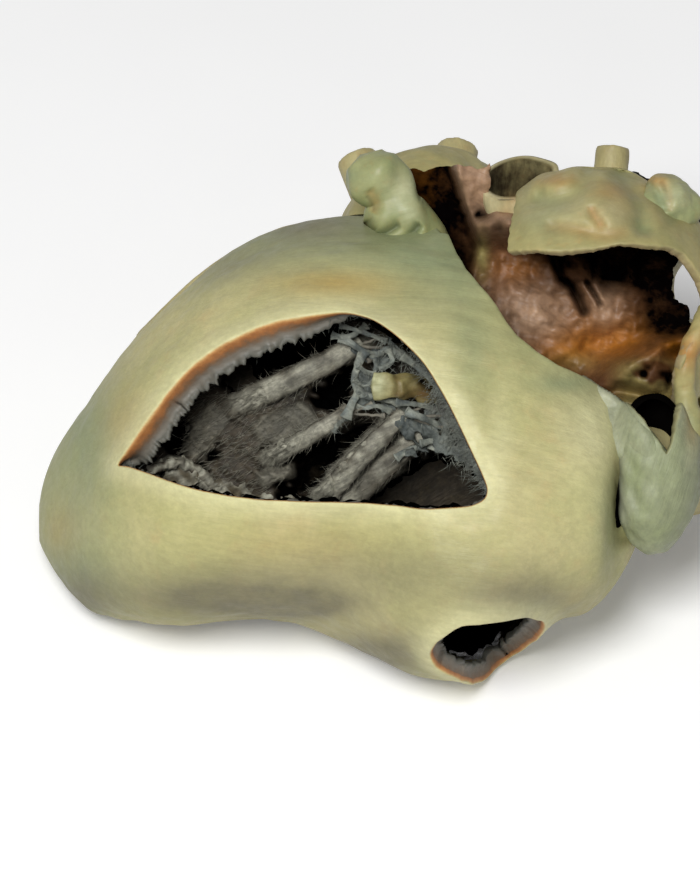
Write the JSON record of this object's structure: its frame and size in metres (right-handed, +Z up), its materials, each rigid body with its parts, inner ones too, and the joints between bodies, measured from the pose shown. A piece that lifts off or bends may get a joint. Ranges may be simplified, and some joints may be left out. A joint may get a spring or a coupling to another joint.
{
  "type": "dog heart model",
  "caption": "Preserved dog heart lying on its left side, with windows cut in the right ventricle, outflow tract and right atrium that show its chambers, valves and papillary muscles.",
  "frame": {"origin": "middle of the bounding box on the plane the heart lies on", "axes": "+X from the apex to the base of the heart with its great vessels, +Y away from the side a viewer looks from, +Z up; the right side of the heart faces up and towards -Y"},
  "size_m": [0.1052, 0.0896, 0.0626],
  "materials": {
    "epicardium": "satin, dried and preserved muscle under a thin fatty skin",
    "endocardium": "matt, fibrous",
    "valve_tissue": "satin",
    "chord_tissue": "matt",
    "atrial_tissue": "satin",
    "vessel_tissue": "satin",
    "fat": "satin"
  },
  "bodies": {
    "root": {"left_ventricle_wall": "epicardium", "right_ventricle_wall": "epicardium", "interventricular_septum": "endocardium", "right_papillary_cranial": "endocardium", "right_papillary_middle": "endocardium", "right_papillary_caudal": "endocardium", "left_papillary_cranial": "endocardium", "left_papillary_caudal": "endocardium", "septomarginal_band": "endocardium", "fibrous_base_plate": "valve_tissue", "tricuspid_parietal_cusp": "valve_tissue", "tricuspid_septal_cusp": "valve_tissue", "mitral_septal_cusp": "valve_tissue", "mitral_parietal_cusp": "valve_tissue", "aortic_cusp_1": "valve_tissue", "aortic_cusp_2": "valve_tissue", "aortic_cusp_3": "valve_tissue", "pulmonary_cusp_1": "valve_tissue", "pulmonary_cusp_2": "valve_tissue", "pulmonary_cusp_3": "valve_tissue", "right_chords_cranial": "chord_tissue", "right_chords_middle": "chord_tissue", "right_chords_caudal": "chord_tissue", "left_chords_cranial": "chord_tissue", "left_chords_caudal": "chord_tissue", "right_atrium": "atrial_tissue", "right_auricle": "atrial_tissue", "interatrial_septum": "atrial_tissue", "intervenous_ridge": "atrial_tissue", "left_atrium": "atrial_tissue", "left_auricle": "atrial_tissue", "cranial_vena_cava": "vessel_tissue", "caudal_vena_cava": "vessel_tissue", "azygos_vein": "vessel_tissue", "pulmonary_trunk": "vessel_tissue", "right_pulmonary_artery": "vessel_tissue", "left_pulmonary_artery": "vessel_tissue", "aorta": "vessel_tissue", "ligamentum_arteriosum": "vessel_tissue", "middle_cardiac_vein": "vessel_tissue", "subsinuosal_artery": "vessel_tissue", "pulmonary_vein_1": "vessel_tissue", "pulmonary_vein_2": "vessel_tissue", "pulmonary_vein_3": "vessel_tissue", "pulmonary_vein_4": "vessel_tissue", "fat_lobule": "fat", "atrial_fold": "fat"}
  },
  "joints": []
}
